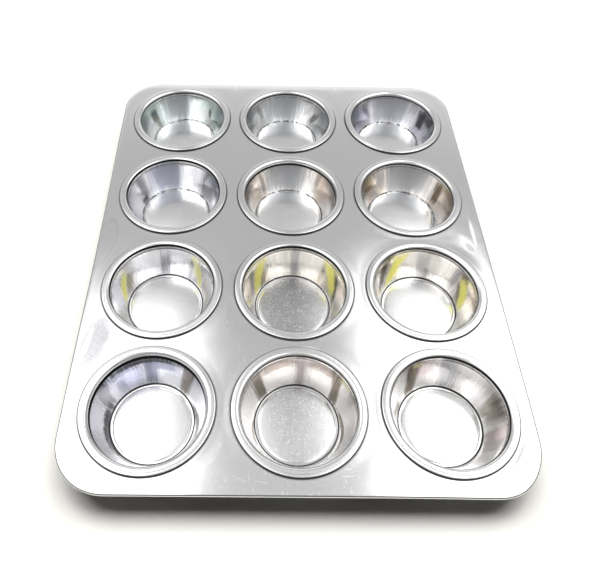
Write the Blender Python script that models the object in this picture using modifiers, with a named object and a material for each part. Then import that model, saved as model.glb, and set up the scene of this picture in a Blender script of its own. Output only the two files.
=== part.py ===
"""A twelve-cup muffin pan, modelled piece by piece.

The deck is one flat sheet with a round hole for every cup. Its outer edge is rolled under round a wire.
Each cup is drawn from its own disc: a flat floor on a narrow foot, a tapered wall, a bead, a neck and a
raised ring with a turned-down lip. The deck's hole edge is trapped between that lip, which rests on top
of the sheet, and the bead, which is wider than the hole and lies under it.

Lengths are in metres and +Z is up. The origin is on the ground under the middle of the pan.
"""

import math

import bmesh
import bpy
from mathutils import Vector

# The grid of cups
COLUMNS = 3
ROWS = 4
RING_GAP_X = 0.0074
RING_GAP_Y = 0.0044

# The deck sheet, from the outermost rings to its edge, and the rolled rim round its wire
SHEET = 0.0006
EDGE_MARGIN_X = 0.0093
EDGE_MARGIN_FRONT = 0.0090
EDGE_MARGIN_BACK = 0.0062
CORNER_RADIUS = 0.0315
WIRE_RADIUS = 0.0005
ROLL_TURN = math.radians(270)

# One cup: its whole height, its sheet and the ring that lies on the deck
CUP_HEIGHT = 0.0255
CUP_WALL = 0.0005
RING_WIDTH = 0.0062
RING_RISE = 0.0018
RING_FALL = 0.0003
LIP_FLARE = 0.0004

# The mouth, the neck inside the deck's hole and the lock bead under the deck
MOUTH_RADIUS = 0.0341
MOUTH_ROUNDING = 0.0012
BEAD_BULGE = 0.0008
BEAD_DROP = 0.0013
WALL_INSET = 0.0009
WALL_DROP = 0.0035

# The foot that the cup stands on, and the floor panel that it carries a little higher
FOOT_RADIUS = 0.0254
FOOT_FILLET = 0.0010
FOOT_WIDTH = 0.0015
PANEL_RISE = 0.0004

# The gap left between pieces that touch on the real pan
CLEARANCE = 0.0003

# How finely the curves are divided
CUP_STEPS = 24
CORNER_STEPS = 6
ROLL_STEPS = 6
WIRE_RESOLUTION = 1

# Sizes that follow from the ones above
RING_RADIUS = MOUTH_RADIUS + RING_WIDTH
PITCH_X = 2 * RING_RADIUS + RING_GAP_X
PITCH_Y = 2 * RING_RADIUS + RING_GAP_Y
HOLE_RADIUS = MOUTH_RADIUS + CUP_WALL + CLEARANCE
DECK_TOP = CUP_HEIGHT - RING_RISE
DECK_HALF_X = (COLUMNS - 1) / 2 * PITCH_X + RING_RADIUS + EDGE_MARGIN_X
DECK_HALF_Y = (ROWS - 1) / 2 * PITCH_Y + RING_RADIUS + (EDGE_MARGIN_FRONT + EDGE_MARGIN_BACK) / 2
GRID_MIDDLE_Y = (EDGE_MARGIN_FRONT - EDGE_MARGIN_BACK) / 2
ROLL_RADIUS = WIRE_RADIUS + CLEARANCE / math.cos(ROLL_TURN / ROLL_STEPS / 2) + SHEET

STEEL = (0.58, 0.58, 0.58, 1.0)
BRIGHT_STEEL = (0.68, 0.68, 0.69, 1.0)
WIRE_STEEL = (0.42, 0.42, 0.41, 1.0)


def clear_scene():
    """Remove every object of the open scene."""
    for obj in list(bpy.context.scene.objects):
        bpy.data.objects.remove(obj, do_unlink=True)


def make_material(name, colour, roughness):
    """Return a metal material of one colour."""
    material = bpy.data.materials.new(name)
    material.use_nodes = True
    shader = material.node_tree.nodes["Principled BSDF"]
    shader.inputs["Base Color"].default_value = colour
    shader.inputs["Metallic"].default_value = 1.0
    shader.inputs["Roughness"].default_value = roughness
    return material


def circle_points(radius, steps, centre=(0.0, 0.0)):
    """Return points round a circle, the first one on its +X side."""
    angles = [2 * math.pi * step / steps for step in range(steps)]
    return [(centre[0] + radius * math.cos(a), centre[1] + radius * math.sin(a)) for a in angles]


def deck_outline(inset):
    """Return points round the deck, drawn in from its edge by the inset."""
    radius = CORNER_RADIUS - inset
    corner_x = DECK_HALF_X - CORNER_RADIUS
    corner_y = DECK_HALF_Y - CORNER_RADIUS
    points = []
    for quarter, (side_x, side_y) in enumerate(((1, 1), (-1, 1), (-1, -1), (1, -1))):
        for step in range(CORNER_STEPS + 1):
            angle = (quarter + step / CORNER_STEPS) * math.pi / 2
            x = side_x * corner_x + radius * math.cos(angle)
            y = side_y * corner_y + radius * math.sin(angle)
            points.append((x, y))
    return points


def cup_places():
    """Yield each cup's row, column and centre, row 1 at the back and column 1 on the left."""
    for row in range(ROWS):
        for column in range(COLUMNS):
            x = (column - (COLUMNS - 1) / 2) * PITCH_X
            y = ((ROWS - 1) / 2 - row) * PITCH_Y + GRID_MIDDLE_Y
            yield row + 1, column + 1, (x, y)


def add_spline(curve, points):
    """Add a closed spline of straight pieces to a curve."""
    spline = curve.splines.new("POLY")
    spline.points.add(len(points) - 1)
    for point, place in zip(spline.points, points):
        point.co = (place[0], place[1], 0.0, 1.0)
    spline.use_cyclic_u = True


def mesh_of_curve(curve, name):
    """Return the mesh that a curve fills or sweeps."""
    guide = bpy.data.objects.new(name, curve)
    bpy.context.scene.collection.objects.link(guide)
    bpy.context.view_layer.update()
    graph = bpy.context.evaluated_depsgraph_get()
    mesh = bpy.data.meshes.new_from_object(guide.evaluated_get(graph))
    bpy.data.objects.remove(guide, do_unlink=True)
    return mesh


def add_object(name, mesh, collection, parent, material, location):
    """Add an object for one piece of the pan."""
    obj = bpy.data.objects.new(name, mesh)
    obj.location = location
    obj.parent = parent
    if not mesh.materials:
        mesh.materials.append(material)
    collection.objects.link(obj)
    return obj


def flat_deck_mesh():
    """Return the flat part of the deck as an open surface with a hole for every cup."""
    curve = bpy.data.curves.new("deck_outline", "CURVE")
    curve.dimensions = "2D"
    curve.fill_mode = "BOTH"
    add_spline(curve, deck_outline(ROLL_RADIUS))
    for _, _, centre in cup_places():
        add_spline(curve, circle_points(HOLE_RADIUS, CUP_STEPS, centre))
    return mesh_of_curve(curve, "deck_guide")


def roll_edge(mesh):
    """Roll the outer edge of the flat deck outwards, down and back under itself."""
    bm = bmesh.new()
    bm.from_mesh(mesh)
    bmesh.ops.remove_doubles(bm, verts=bm.verts, dist=1e-6)
    bmesh.ops.recalc_face_normals(bm, faces=bm.faces)
    if sum(face.normal.z for face in bm.faces) < 0:
        bmesh.ops.reverse_faces(bm, faces=bm.faces)
    start = [Vector((x, y, 0.0)) for x, y in deck_outline(ROLL_RADIUS)]
    index_of = {}
    for vert in bm.verts:
        near = min(range(len(start)), key=lambda i: (start[i] - vert.co).length)
        if (start[near] - vert.co).length < 1e-5:
            index_of[vert] = near
    edges = [e for e in bm.edges if e.is_boundary and all(v in index_of for v in e.verts)]
    for step in range(1, ROLL_STEPS + 1):
        angle = ROLL_TURN * step / ROLL_STEPS
        ring = deck_outline(ROLL_RADIUS * (1 - math.sin(angle)))
        height = ROLL_RADIUS * (math.cos(angle) - 1)
        index_at = {tuple(v.co): index_of[v] for e in edges for v in e.verts}
        made = bmesh.ops.extrude_edge_only(bm, edges=edges)["geom"]
        edges = [item for item in made if isinstance(item, bmesh.types.BMEdge)]
        for vert in (item for item in made if isinstance(item, bmesh.types.BMVert)):
            index_of[vert] = index_at[tuple(vert.co)]
            vert.co = Vector((*ring[index_of[vert]], height))
    bmesh.ops.recalc_face_normals(bm, faces=bm.faces)
    top = max(bm.faces, key=lambda face: face.calc_center_median().z)
    if top.normal.z < 0:
        bmesh.ops.reverse_faces(bm, faces=bm.faces)
    bm.to_mesh(mesh)
    bm.free()


def make_deck(collection, parent):
    """Make the deck sheet, its top face at the height where the cups hold it."""
    mesh = flat_deck_mesh()
    mesh.name = "deck_sheet"
    roll_edge(mesh)
    mesh.materials.clear()
    material = make_material("deck_steel", STEEL, 0.35)
    deck = add_object("deck_sheet", mesh, collection, parent, material, (0.0, 0.0, DECK_TOP))
    wall = deck.modifiers.new("sheet", "SOLIDIFY")
    wall.thickness = SHEET
    wall.offset = -1.0
    wall.use_even_offset = True
    mesh.shade_smooth()
    mesh.set_sharp_from_angle(angle=math.radians(60))


def make_rim_wire(collection, parent):
    """Make the wire that the deck's edge is rolled round, one closed hoop."""
    curve = bpy.data.curves.new("rim_wire", "CURVE")
    curve.dimensions = "3D"
    curve.bevel_depth = WIRE_RADIUS
    curve.bevel_resolution = WIRE_RESOLUTION
    add_spline(curve, deck_outline(ROLL_RADIUS))
    mesh = mesh_of_curve(curve, "wire_guide")
    mesh.name = "rim_wire"
    mesh.materials.clear()
    mesh.shade_smooth()
    material = make_material("wire_steel", WIRE_STEEL, 0.5)
    add_object("rim_wire", mesh, collection, parent, material, (0.0, 0.0, DECK_TOP - ROLL_RADIUS))


def cup_section():
    """Return the cup's section as (radius, height) points, the height counted from the deck's top.

    They run from the middle of the floor out along the inside and over the ring, then back down the
    outside to the middle of the underside.
    """
    under = RING_RISE - CUP_HEIGHT
    panel_radius = FOOT_RADIUS - FOOT_WIDTH
    neck_foot = -(SHEET + CLEARANCE)
    bead_height = neck_foot - BEAD_DROP
    wall_top = neck_foot - WALL_DROP
    wall_top_radius = MOUTH_RADIUS - WALL_INSET
    fillet_top = under + CUP_WALL + FOOT_FILLET
    taper = math.atan2(wall_top_radius - FOOT_RADIUS, wall_top - fillet_top)
    fillet_radius = FOOT_RADIUS + FOOT_FILLET * math.sin(math.pi / 4)
    wall_across = CUP_WALL / math.cos(taper)
    mitre = CUP_WALL * math.tan(math.pi / 8)
    inside = [
        (0.0, under + CUP_WALL + PANEL_RISE),
        (panel_radius - PANEL_RISE, under + CUP_WALL + PANEL_RISE),
        (panel_radius, under + CUP_WALL),
        (FOOT_RADIUS, under + CUP_WALL),
        (fillet_radius, fillet_top),
        (wall_top_radius, wall_top),
        (MOUTH_RADIUS + BEAD_BULGE, bead_height),
        (MOUTH_RADIUS, neck_foot - mitre),
        (MOUTH_RADIUS, RING_RISE - MOUTH_ROUNDING),
        (MOUTH_RADIUS + MOUTH_ROUNDING, RING_RISE),
        (RING_RADIUS - LIP_FLARE, RING_RISE - RING_FALL),
        (RING_RADIUS, CLEARANCE),
    ]
    outside = [
        (RING_RADIUS - CUP_WALL, CLEARANCE),
        (RING_RADIUS - LIP_FLARE - CUP_WALL, RING_RISE - RING_FALL - CUP_WALL),
        (MOUTH_RADIUS + MOUTH_ROUNDING + mitre, RING_RISE - CUP_WALL),
        (MOUTH_RADIUS + CUP_WALL, RING_RISE - MOUTH_ROUNDING - mitre),
        (MOUTH_RADIUS + CUP_WALL, neck_foot),
        (MOUTH_RADIUS + BEAD_BULGE + CUP_WALL, bead_height),
        (wall_top_radius + wall_across, wall_top - mitre),
        (fillet_radius + wall_across, fillet_top - mitre),
        (FOOT_RADIUS + mitre, under),
        (panel_radius - mitre, under),
        (panel_radius - PANEL_RISE - mitre, under + PANEL_RISE),
        (0.0, under + PANEL_RISE),
    ]
    return inside + outside


def make_cups(collection, parent):
    """Make the cups, one object each, round their own axes."""
    section = cup_section()
    bm = bmesh.new()
    verts = [bm.verts.new((radius, 0.0, height)) for radius, height in section]
    for first, second in zip(verts, verts[1:]):
        bm.edges.new((first, second))
    mesh = bpy.data.meshes.new("cup_section")
    bm.to_mesh(mesh)
    bm.free()
    material = make_material("cup_steel", BRIGHT_STEEL, 0.2)
    for row, column, (x, y) in cup_places():
        cup = add_object(f"cup_row{row}_column{column}", mesh, collection, parent, material, (x, y, DECK_TOP))
        turn = cup.modifiers.new("turn", "SCREW")
        turn.axis = "Z"
        turn.angle = 2 * math.pi
        turn.steps = CUP_STEPS
        turn.render_steps = CUP_STEPS
        turn.use_merge_vertices = True
        turn.merge_threshold = 1e-6
        turn.use_smooth_shade = True


def main():
    """Build the pan."""
    clear_scene()
    pan = bpy.data.collections.new("muffin_pan")
    bpy.context.scene.collection.children.link(pan)
    middle = bpy.data.objects.new("pan_middle", None)
    pan.objects.link(middle)
    make_deck(pan, middle)
    make_rim_wire(pan, middle)
    make_cups(pan, middle)


main()
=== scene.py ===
"""The looks of a twelve-cup muffin pan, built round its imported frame.

The pan is pressed from bright tinned steel. Each class below is one sub-assembly: it holds its sizes in
metres, builds its meshes and dresses them. Every node of the frame is replaced by a finer mesh of the
same piece, in the same place.
"""

from __future__ import annotations

import logging
import math
from dataclasses import dataclass, field
from enum import Enum
from functools import reduce
from typing import Any, Iterable, Mapping, Sequence, Union

import bmesh
import bpy
from mathutils import Matrix, Vector, noise

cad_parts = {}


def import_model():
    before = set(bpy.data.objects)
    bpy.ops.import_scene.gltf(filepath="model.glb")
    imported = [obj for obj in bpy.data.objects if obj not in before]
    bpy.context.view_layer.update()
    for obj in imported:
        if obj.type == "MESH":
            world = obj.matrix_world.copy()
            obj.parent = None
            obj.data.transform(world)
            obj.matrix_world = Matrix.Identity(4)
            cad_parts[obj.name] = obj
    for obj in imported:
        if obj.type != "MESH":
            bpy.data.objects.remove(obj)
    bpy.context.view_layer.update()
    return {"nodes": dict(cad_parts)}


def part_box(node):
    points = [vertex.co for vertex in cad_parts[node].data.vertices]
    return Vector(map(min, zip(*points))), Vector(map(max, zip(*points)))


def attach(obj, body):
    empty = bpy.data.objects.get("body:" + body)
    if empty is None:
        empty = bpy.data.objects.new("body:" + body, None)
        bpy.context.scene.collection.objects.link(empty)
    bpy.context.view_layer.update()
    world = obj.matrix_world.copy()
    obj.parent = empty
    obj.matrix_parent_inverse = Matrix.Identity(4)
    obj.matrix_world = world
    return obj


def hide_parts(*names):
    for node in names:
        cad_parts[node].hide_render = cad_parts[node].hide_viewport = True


MM = 0.001
RING_WIDTH = 6.2 * MM
LOG = logging.getLogger("muffin_pan")
FIRST_SEED = 1.0
SEED_STEP = 3.7
SHORTEST = 1e-7
# The downward faces are painted darker: painted shade, which also darkens the floor's shadow under the pan
UNDERSIDE = (0.30, 0.29, 0.28)
UNDERSIDE_SHARE = 0.9

Point = tuple[float, float]
Cell = tuple[float, float, float, float]
Colour = tuple[float, float, float]
Number = Union["Signal", float]


class Signal:
    """One output socket of a node, for use in arithmetic."""

    def __init__(self, net: "Net", socket: bpy.types.NodeSocket) -> None:
        """Keep the socket and the net that it belongs to."""
        self.net = net
        self.socket = socket

    def __add__(self, other: Number) -> "Signal":
        """Return the sum."""
        return self.net.math("ADD", self, other)

    __radd__ = __add__

    def __sub__(self, other: Number) -> "Signal":
        """Return the difference."""
        return self.net.math("SUBTRACT", self, other)

    def __rsub__(self, other: Number) -> "Signal":
        """Return the other number less this one."""
        return self.net.math("SUBTRACT", other, self)

    def __mul__(self, other: Number) -> "Signal":
        """Return the product."""
        return self.net.math("MULTIPLY", self, other)

    __rmul__ = __mul__

    def __truediv__(self, other: Number) -> "Signal":
        """Return the quotient."""
        return self.net.math("DIVIDE", self, other)

    def __abs__(self) -> "Signal":
        """Return the number without its sign."""
        return self.net.math("ABSOLUTE", self)


class Net:
    """Adds nodes to one tree and links their sockets."""

    def __init__(self, tree: bpy.types.NodeTree) -> None:
        """Keep the tree."""
        self.tree = tree

    def node(
        self,
        kind: str,
        settings: Mapping[str, Any] | None = None,
        sockets: Mapping[str | int, Any] | None = None,
    ) -> bpy.types.Node:
        """Add a node, its settings first and then its sockets.

        Args:
            kind: The node's type.
            settings: Values of the node itself.
            sockets: Values or signals, by a socket's name or number.

        Returns:
            The new node.
        """
        node = self.tree.nodes.new(kind)
        for name, value in (settings or {}).items():
            setattr(node, name, value)
        for key, value in (sockets or {}).items():
            if isinstance(value, Signal):
                self.tree.links.new(value.socket, node.inputs[key])
            else:
                node.inputs[key].default_value = value
        return node

    def signal(
        self,
        kind: str,
        settings: Mapping[str, Any] | None = None,
        sockets: Mapping[str | int, Any] | None = None,
        output: str | int = 0,
    ) -> Signal:
        """Add a node and return one of its outputs.

        Args:
            kind: The node's type.
            settings: Values of the node itself.
            sockets: Values or signals, by a socket's name or number.
            output: The output's name or number.

        Returns:
            The output.
        """
        return Signal(self, self.node(kind, settings, sockets).outputs[output])

    def geometry(
        self,
        kind: str,
        sockets: Mapping[str | int, Any] | None = None,
        output: str | int = 0,
        settings: Mapping[str, Any] | None = None,
    ) -> Signal:
        """Return an output of a Geometry Nodes node, whose kind is given without its first words."""
        return self.signal(f"GeometryNode{kind}", settings, sockets, output)

    def math(self, operation: str, *numbers: Number) -> Signal:
        """Return the result of a Math node."""
        return self.signal("ShaderNodeMath", {"operation": operation}, dict(enumerate(numbers)))

    def vector_math(self, operation: str, *vectors: Any, output: str = "Vector") -> Signal:
        """Return the result of a Vector Math node."""
        settings = {"operation": operation}
        return self.signal("ShaderNodeVectorMath", settings, dict(enumerate(vectors)), output)

    def vector(self, x: Number, y: Number, z: Number) -> Signal:
        """Return a vector made of three numbers."""
        return self.signal("ShaderNodeCombineXYZ", None, {"X": x, "Y": y, "Z": z})

    def parts(self, vector: Signal) -> tuple[Signal, Signal, Signal]:
        """Return the three numbers of a vector."""
        node = self.node("ShaderNodeSeparateXYZ", None, {"Vector": vector})
        return tuple(Signal(self, socket) for socket in node.outputs)

    def step(self, value: Number, low: float, high: float) -> Signal:
        """Return a smooth step from 0 at the low value to 1 at the high one."""
        sockets = {"Value": value, "From Min": low, "From Max": high}
        return self.signal("ShaderNodeMapRange", {"interpolation_type": "SMOOTHSTEP"}, sockets)

    def fades(self, value: Number, edge: Point) -> Signal:
        """Return a smooth step from 1 at the edge's first value to 0 at its second one."""
        return 1.0 - self.step(value, *edge)

    def between(self, value: Number, rise: Point, fall: Point) -> Signal:
        """Return 1 between two soft edges and 0 outside them."""
        return self.step(value, *rise) * self.fades(value, fall)

    def largest(self, *values: Number) -> Signal:
        """Return the largest of some numbers."""
        return reduce(lambda first, second: self.math("MAXIMUM", first, second), values)

    def capped(self, value: Number) -> Signal:
        """Return a number, or 1 where it is more."""
        return self.math("MINIMUM", value, 1.0)

    def distance(self, x: Signal, y: Signal) -> Signal:
        """Return the distance of a place from the axis."""
        return self.math("SQRT", x * x + y * y)

    def band(self, value: Signal, middle: float, half_width: float, softness: float) -> Signal:
        """Return 1 within a band of values and 0 outside it.

        Args:
            value: The number to test.
            middle: The middle of the band.
            half_width: Half of the band's width, to the middle of its soft edge.
            softness: The width of the soft edge.

        Returns:
            The mask.
        """
        low = half_width - softness / 2
        return 1.0 - self.step(abs(value - middle), low, low + softness)

    def noise(self, place: Signal, scale: float, detail: float = 2.0, seed: float = 0.0) -> Signal:
        """Return soft noise of about 0 to 1, with 0.5 as its mean."""
        sockets = {"Vector": place, "W": seed, "Scale": scale, "Detail": detail}
        return self.signal("ShaderNodeTexNoise", {"noise_dimensions": "4D"}, sockets)

    def blend(self, factor: Number, first: Any, second: Any) -> Signal:
        """Return a mix of two colours, the second one at a factor of 1."""
        colours = {0: factor, 6: self.colour(first), 7: self.colour(second)}
        return self.signal("ShaderNodeMix", {"data_type": "RGBA"}, colours, 2)

    def layers(self, colour: Any, *layers: tuple[Number, Any]) -> Signal:
        """Return a colour with others laid over it.

        Args:
            colour: The colour underneath.
            layers: Each mask with its colour, the lowest first.

        Returns:
            The mixed colour.
        """
        for mask, shade in layers:
            colour = self.blend(mask, colour, shade)
        return colour

    @staticmethod
    def colour(value: Any) -> Any:
        """Return a colour with its alpha, or the signal as it is."""
        return value if isinstance(value, Signal) else (*value, 1.0)


class Roll(Enum):
    """Which way the sheet's scratches run."""

    ALONG = math.radians(84)
    ACROSS = math.radians(12)
    SLANTED = math.radians(-38)


@dataclass(frozen=True)
class ScratchSet:
    """Thin parallel scratches: length and width in millimetres, amount from 0, none, to 1, many."""

    roll: Roll
    length: float
    width: float
    amount: float
    seed: float


class Tint(Enum):
    """The colours laid on the cups' walls: heat tints and painted light in one. WHITE is a painted highlight,
    CHARCOAL and UMBER are painted shade, and the greys (STEEL, GREY, ASH, DUSK and SLATE) are painted
    reflections.
    The pale and warm tints are heat tints that also paint the walls' highlights and shade.
    """

    YELLOW = (1.0, 0.98, 0.32)
    CREAM = (1.0, 0.95, 0.84)
    PEACH = (0.96, 0.80, 0.67)
    APRICOT = (1.0, 0.89, 0.79)
    BLUSH = (0.98, 0.94, 0.93)
    OCHRE = (0.62, 0.51, 0.36)
    OLIVE = (0.42, 0.38, 0.28)
    UMBER = (0.25, 0.22, 0.18)
    MINT = (0.74, 0.88, 0.84)
    SAGE = (0.52, 0.60, 0.57)
    PEARL = (0.92, 0.91, 0.98)
    LAVENDER = (0.72, 0.71, 0.88)
    SLATE = (0.36, 0.37, 0.45)
    STEEL = (0.62, 0.64, 0.66)
    ASH = (0.40, 0.41, 0.43)
    DUSK = (0.39, 0.40, 0.47)
    GREY = (0.44, 0.44, 0.46)
    MAUVE = (0.60, 0.54, 0.54)
    BROWN = (0.50, 0.42, 0.37)
    CHARCOAL = (0.12, 0.12, 0.13)
    WHITE = (0.98, 0.98, 0.98)

    @property
    def dull(self) -> bool:
        """Return whether the steel is hazed there and mirrors nothing sharply: under the pale tints and the
        painted highlights, and under the grey panels of painted reflection.
        """
        hazed_and_highlit = (Tint.YELLOW, Tint.CREAM, Tint.BLUSH, Tint.PEARL, Tint.WHITE)
        return self in (*hazed_and_highlit, Tint.ASH, Tint.DUSK)


@dataclass(frozen=True)
class Mark:
    """An oval mark on the deck, in millimetres and degrees: a tide mark, a rubbed patch, a dent's painted
    shine, a painted highlight or a painted dark reflection.
    """

    x: float
    y: float
    length: float
    width: float
    turn: float
    strength: float
    shade: Colour = (0.50, 0.49, 0.51)
    rim: float = 0.0


@dataclass(frozen=True)
class StainOrPaintedLight:
    """A patch on a cup's wall, coloured by its tint: a heat tint, a painted highlight, painted shade or a
    painted reflection. It is a leaning oval, with azimuths in degrees and heights in millimetres.
    """

    tint: Tint
    azimuth: float
    height: float
    half_angle: float
    half_height: float
    strength: float = 1.0
    lean: float = 0.0


@dataclass(frozen=True)
class CupLook:
    """What use and painted light leave on one cup: its wall's tint, its heat tints and painted light, its
    painted shade and its floor's wear.

    The neck is the height and half the height of the painted black shade line there, in millimetres. The
    corner is how black the painted shade in the floor's corner is, and the wear how scratched the floor is.
    The panel scales the floor's colour: above 1 it paints the floor brighter, below 1 it is a duller floor.
    """

    tint: Colour
    neck: Point
    stains_and_painted_light: tuple[StainOrPaintedLight, ...]
    corner: float = 0.95
    panel: float = 1.0
    wear: float = 1.0


# Each cup's look: heat tints and painted light on the wall. WHITE patches are painted highlights, CHARCOAL
# and UMBER ones painted shade, and grey ones painted reflections. The neck and corner set painted shade
# lines, and a panel above 1 paints the floor brighter.
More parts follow.
